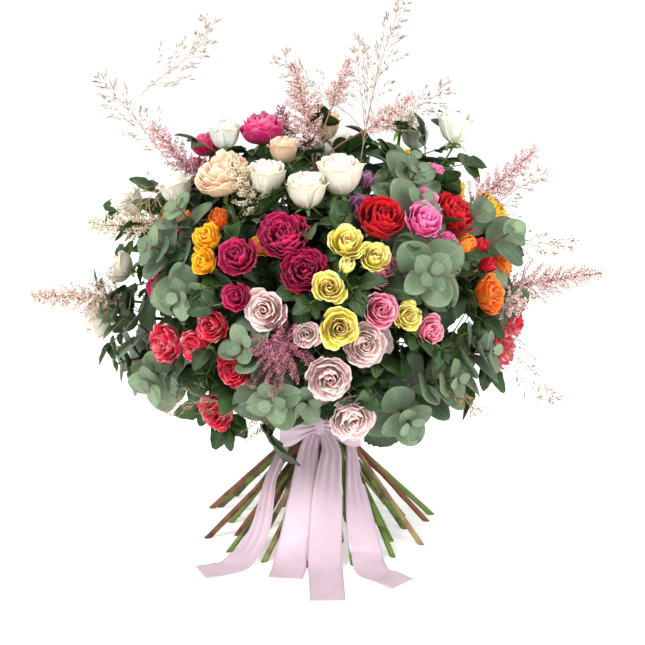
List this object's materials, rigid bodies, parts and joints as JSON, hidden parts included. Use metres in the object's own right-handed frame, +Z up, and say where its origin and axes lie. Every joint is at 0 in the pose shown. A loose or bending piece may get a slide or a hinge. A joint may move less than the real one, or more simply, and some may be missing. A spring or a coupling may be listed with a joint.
{
  "type": "mixed flower bouquet",
  "caption": "Standing hand-tied bouquet of garden and spray roses, plumes, grasses and round-leaved foliage on splayed stems, tied with twine and a satin ribbon bow.",
  "frame": {"origin": "middle of the bounding box seen from above, on the floor that the cut stem ends and ribbon ends stand on", "axes": "+Z up along the bouquet, -Y towards the side that the picture shows, +X to the viewer's right"},
  "size_m": [0.6482, 0.5158, 0.6078],
  "materials": {
    "rose_cerise": "soft satin petals on a green stem",
    "rose_peach": "soft satin petals on a green stem",
    "rose_cream": "soft satin petals on a green stem",
    "rose_green_white": "soft satin petals on a green stem",
    "rose_plum": "soft satin petals on a green stem",
    "rose_red": "soft satin petals on a green stem",
    "rose_hot_pink": "soft satin petals on a green stem",
    "rose_yellow": "soft satin petals on a green stem",
    "rose_orange": "soft satin petals on a green stem",
    "rose_pale_yellow": "soft satin petals on a green stem",
    "rose_blush": "soft satin petals on a green stem",
    "rose_coral": "soft satin petals on a green stem",
    "rose_magenta": "soft satin petals on a green stem",
    "eucalyptus": "matte waxy grey-green leaves",
    "astilbe_top": "matte feathery plumes",
    "astilbe_upper_left": "matte feathery plumes",
    "astilbe_cream_left": "matte feathery plumes",
    "astilbe_left": "matte feathery plumes",
    "astilbe_upper_right": "matte feathery plumes",
    "astilbe_right": "matte feathery plumes",
    "astilbe_centre": "matte feathery plumes",
    "grass": "dry matte straw",
    "twine": "rough twisted fibre",
    "ribbon": "pale pink satin"
  },
  "bodies": {
    "root": {"rose_cerise_top": "rose_cerise", "rose_cerise_left": "rose_cerise", "rose_peach_garden": "rose_peach", "rose_peach_top": "rose_peach", "rose_cream": "rose_cream", "rose_white_left": "rose_green_white", "rose_white_crown": "rose_green_white", "rose_white_right": "rose_green_white", "rose_plum": "rose_plum", "rose_red": "rose_red", "rose_hot_pink": "rose_hot_pink", "rose_yellow_right": "rose_yellow", "rose_orange_right": "rose_orange", "rose_pale_yellow_upper": "rose_pale_yellow", "rose_pale_yellow_lower": "rose_pale_yellow", "rose_pink_edged": "rose_blush", "rose_blush_upper": "rose_blush", "rose_blush_lower": "rose_blush", "rose_cream_yellow": "rose_cream", "rose_coral_upper": "rose_coral", "rose_coral_lower": "rose_coral", "rose_magenta_left": "rose_magenta", "rose_magenta_centre": "rose_magenta", "rose_magenta_pair": "rose_magenta", "rose_golden": "rose_yellow", "rose_orange_left": "rose_orange", "rose_pink_right": "rose_hot_pink", "rose_back_blush": "rose_blush", "rose_back_magenta": "rose_magenta", "rose_back_golden": "rose_yellow", "rose_back_pink": "rose_hot_pink", "rose_back_cream": "rose_cream", "eucalyptus_upper_right": "eucalyptus", "eucalyptus_right": "eucalyptus", "eucalyptus_upper_left": "eucalyptus", "eucalyptus_lower_left": "eucalyptus", "eucalyptus_lower_front": "eucalyptus", "eucalyptus_lower_right": "eucalyptus", "eucalyptus_back": "eucalyptus", "astilbe_top": "astilbe_top", "astilbe_upper_left": "astilbe_upper_left", "astilbe_cream_left": "astilbe_cream_left", "astilbe_left": "astilbe_left", "astilbe_upper_right": "astilbe_upper_right", "astilbe_right": "astilbe_right", "astilbe_centre": "astilbe_centre", "grass_left": "grass", "grass_top": "grass", "grass_right": "grass", "grass_low_left": "grass", "binding_twine": "twine", "ribbon_bow": "ribbon", "ribbon_tail_left": "ribbon", "ribbon_tail_right": "ribbon"}
  },
  "joints": []
}
